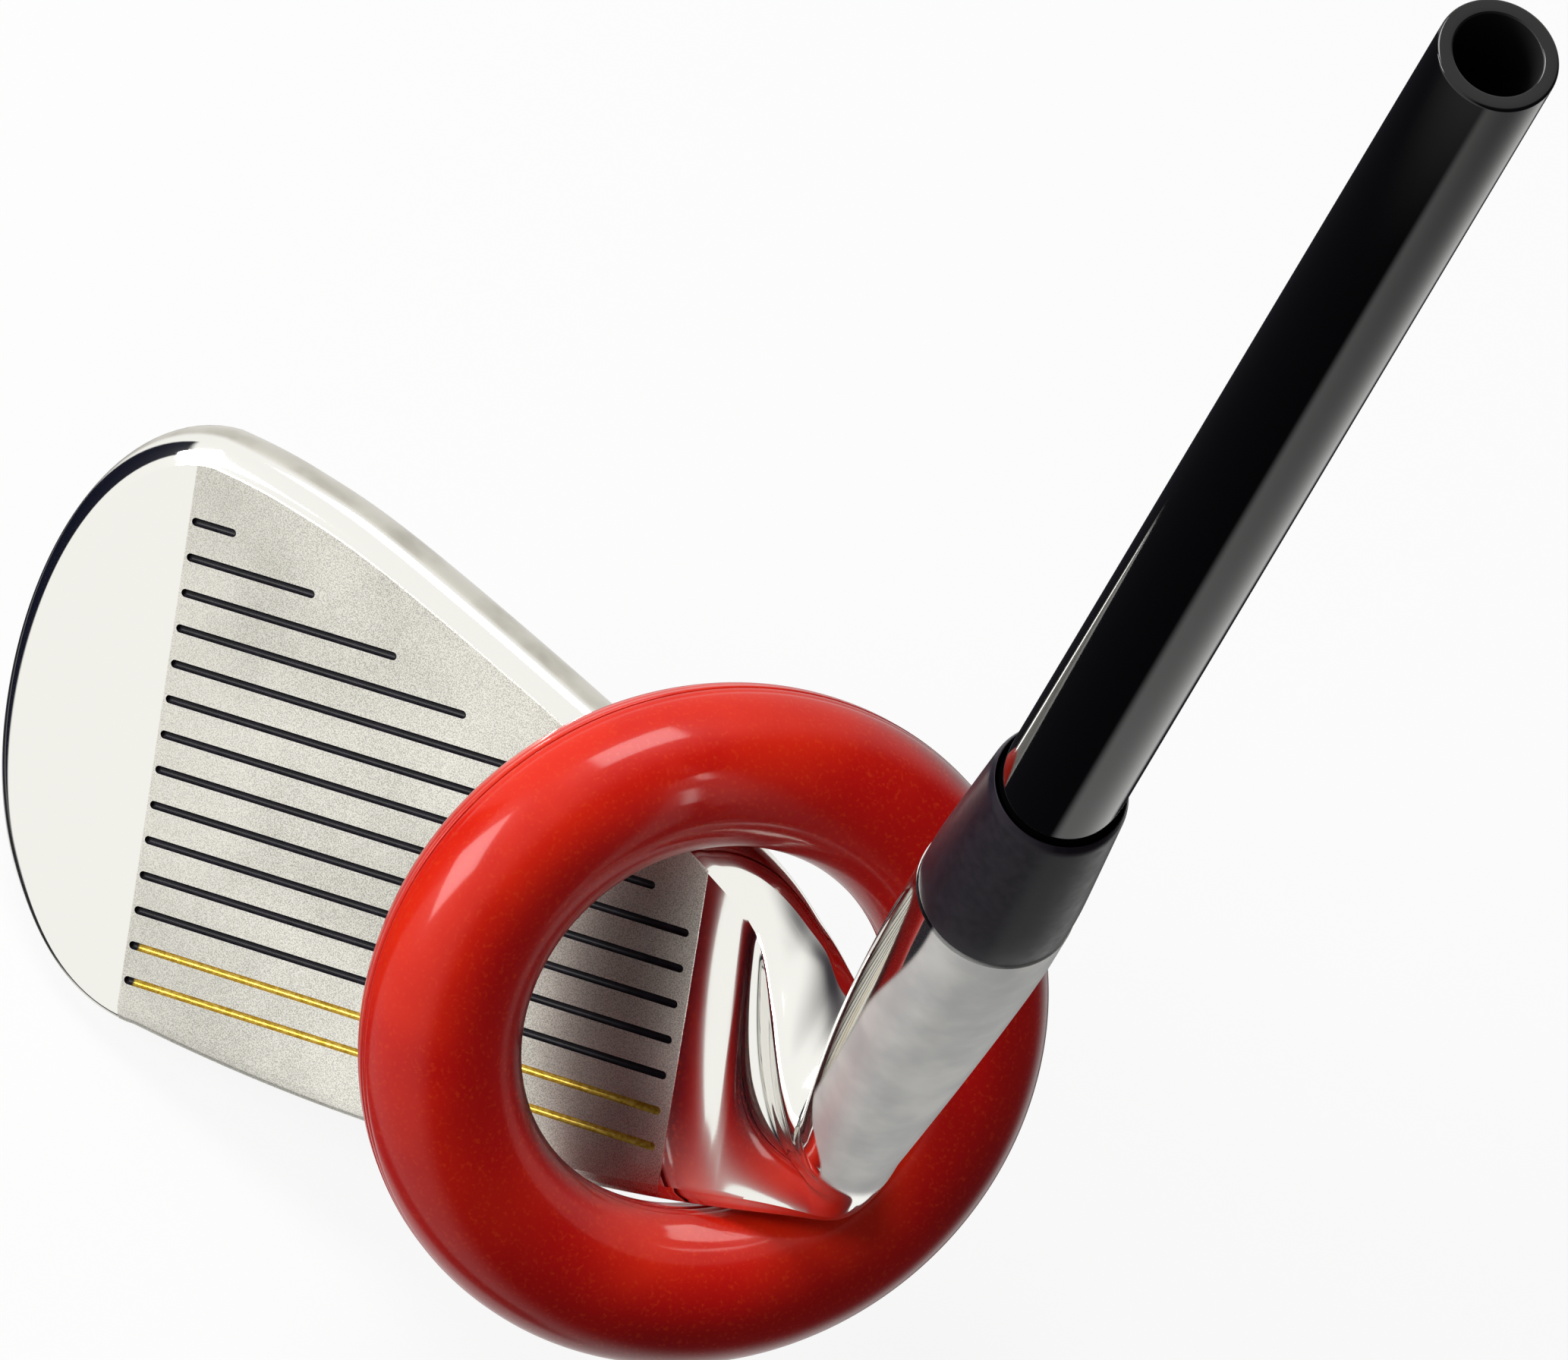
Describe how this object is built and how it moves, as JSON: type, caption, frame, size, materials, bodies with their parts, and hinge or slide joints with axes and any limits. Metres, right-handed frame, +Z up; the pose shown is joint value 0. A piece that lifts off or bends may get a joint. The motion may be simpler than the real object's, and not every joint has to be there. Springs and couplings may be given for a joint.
{
  "type": "golf iron with swing weight ring",
  "caption": "Lower end of a right-handed golf iron: grooved blade, hosel, ferrule and cut-off shaft, with a loose red weight ring hooked round its heel.",
  "frame": {"origin": "centre of the shaft's cut end", "axes": "+Z up the shaft, out of its cut end; -X towards the toe; -Y the way the face looks"},
  "size_m": [0.1019, 0.0562, 0.2495],
  "materials": {
    "nickel_steel": "polished nickel on the toe and neck, satin hosel, sand-blasted face",
    "shaft_black": "glossy black coat on a fibre tube",
    "ferrule_black": "satin",
    "brass": "turned",
    "cast_iron": "as cast",
    "red_vinyl": "glossy dipped vinyl"
  },
  "bodies": {
    "club": {"iron_head": "nickel_steel", "shaft_tube": "shaft_black", "ferrule": "ferrule_black", "tip_weight": "brass"},
    "ring": {"ring_core": "cast_iron", "ring_cover_front": "red_vinyl", "ring_cover_rear": "red_vinyl"}
  },
  "joints": [
    {"name": "ring_swing", "type": "hinge", "parent": "club", "child": "ring", "pos_m": [-0.0163, 0.0072, -0.224], "axis": [-0.2588, 0.9659, 0], "range_deg": [0, 50]}
  ]
}
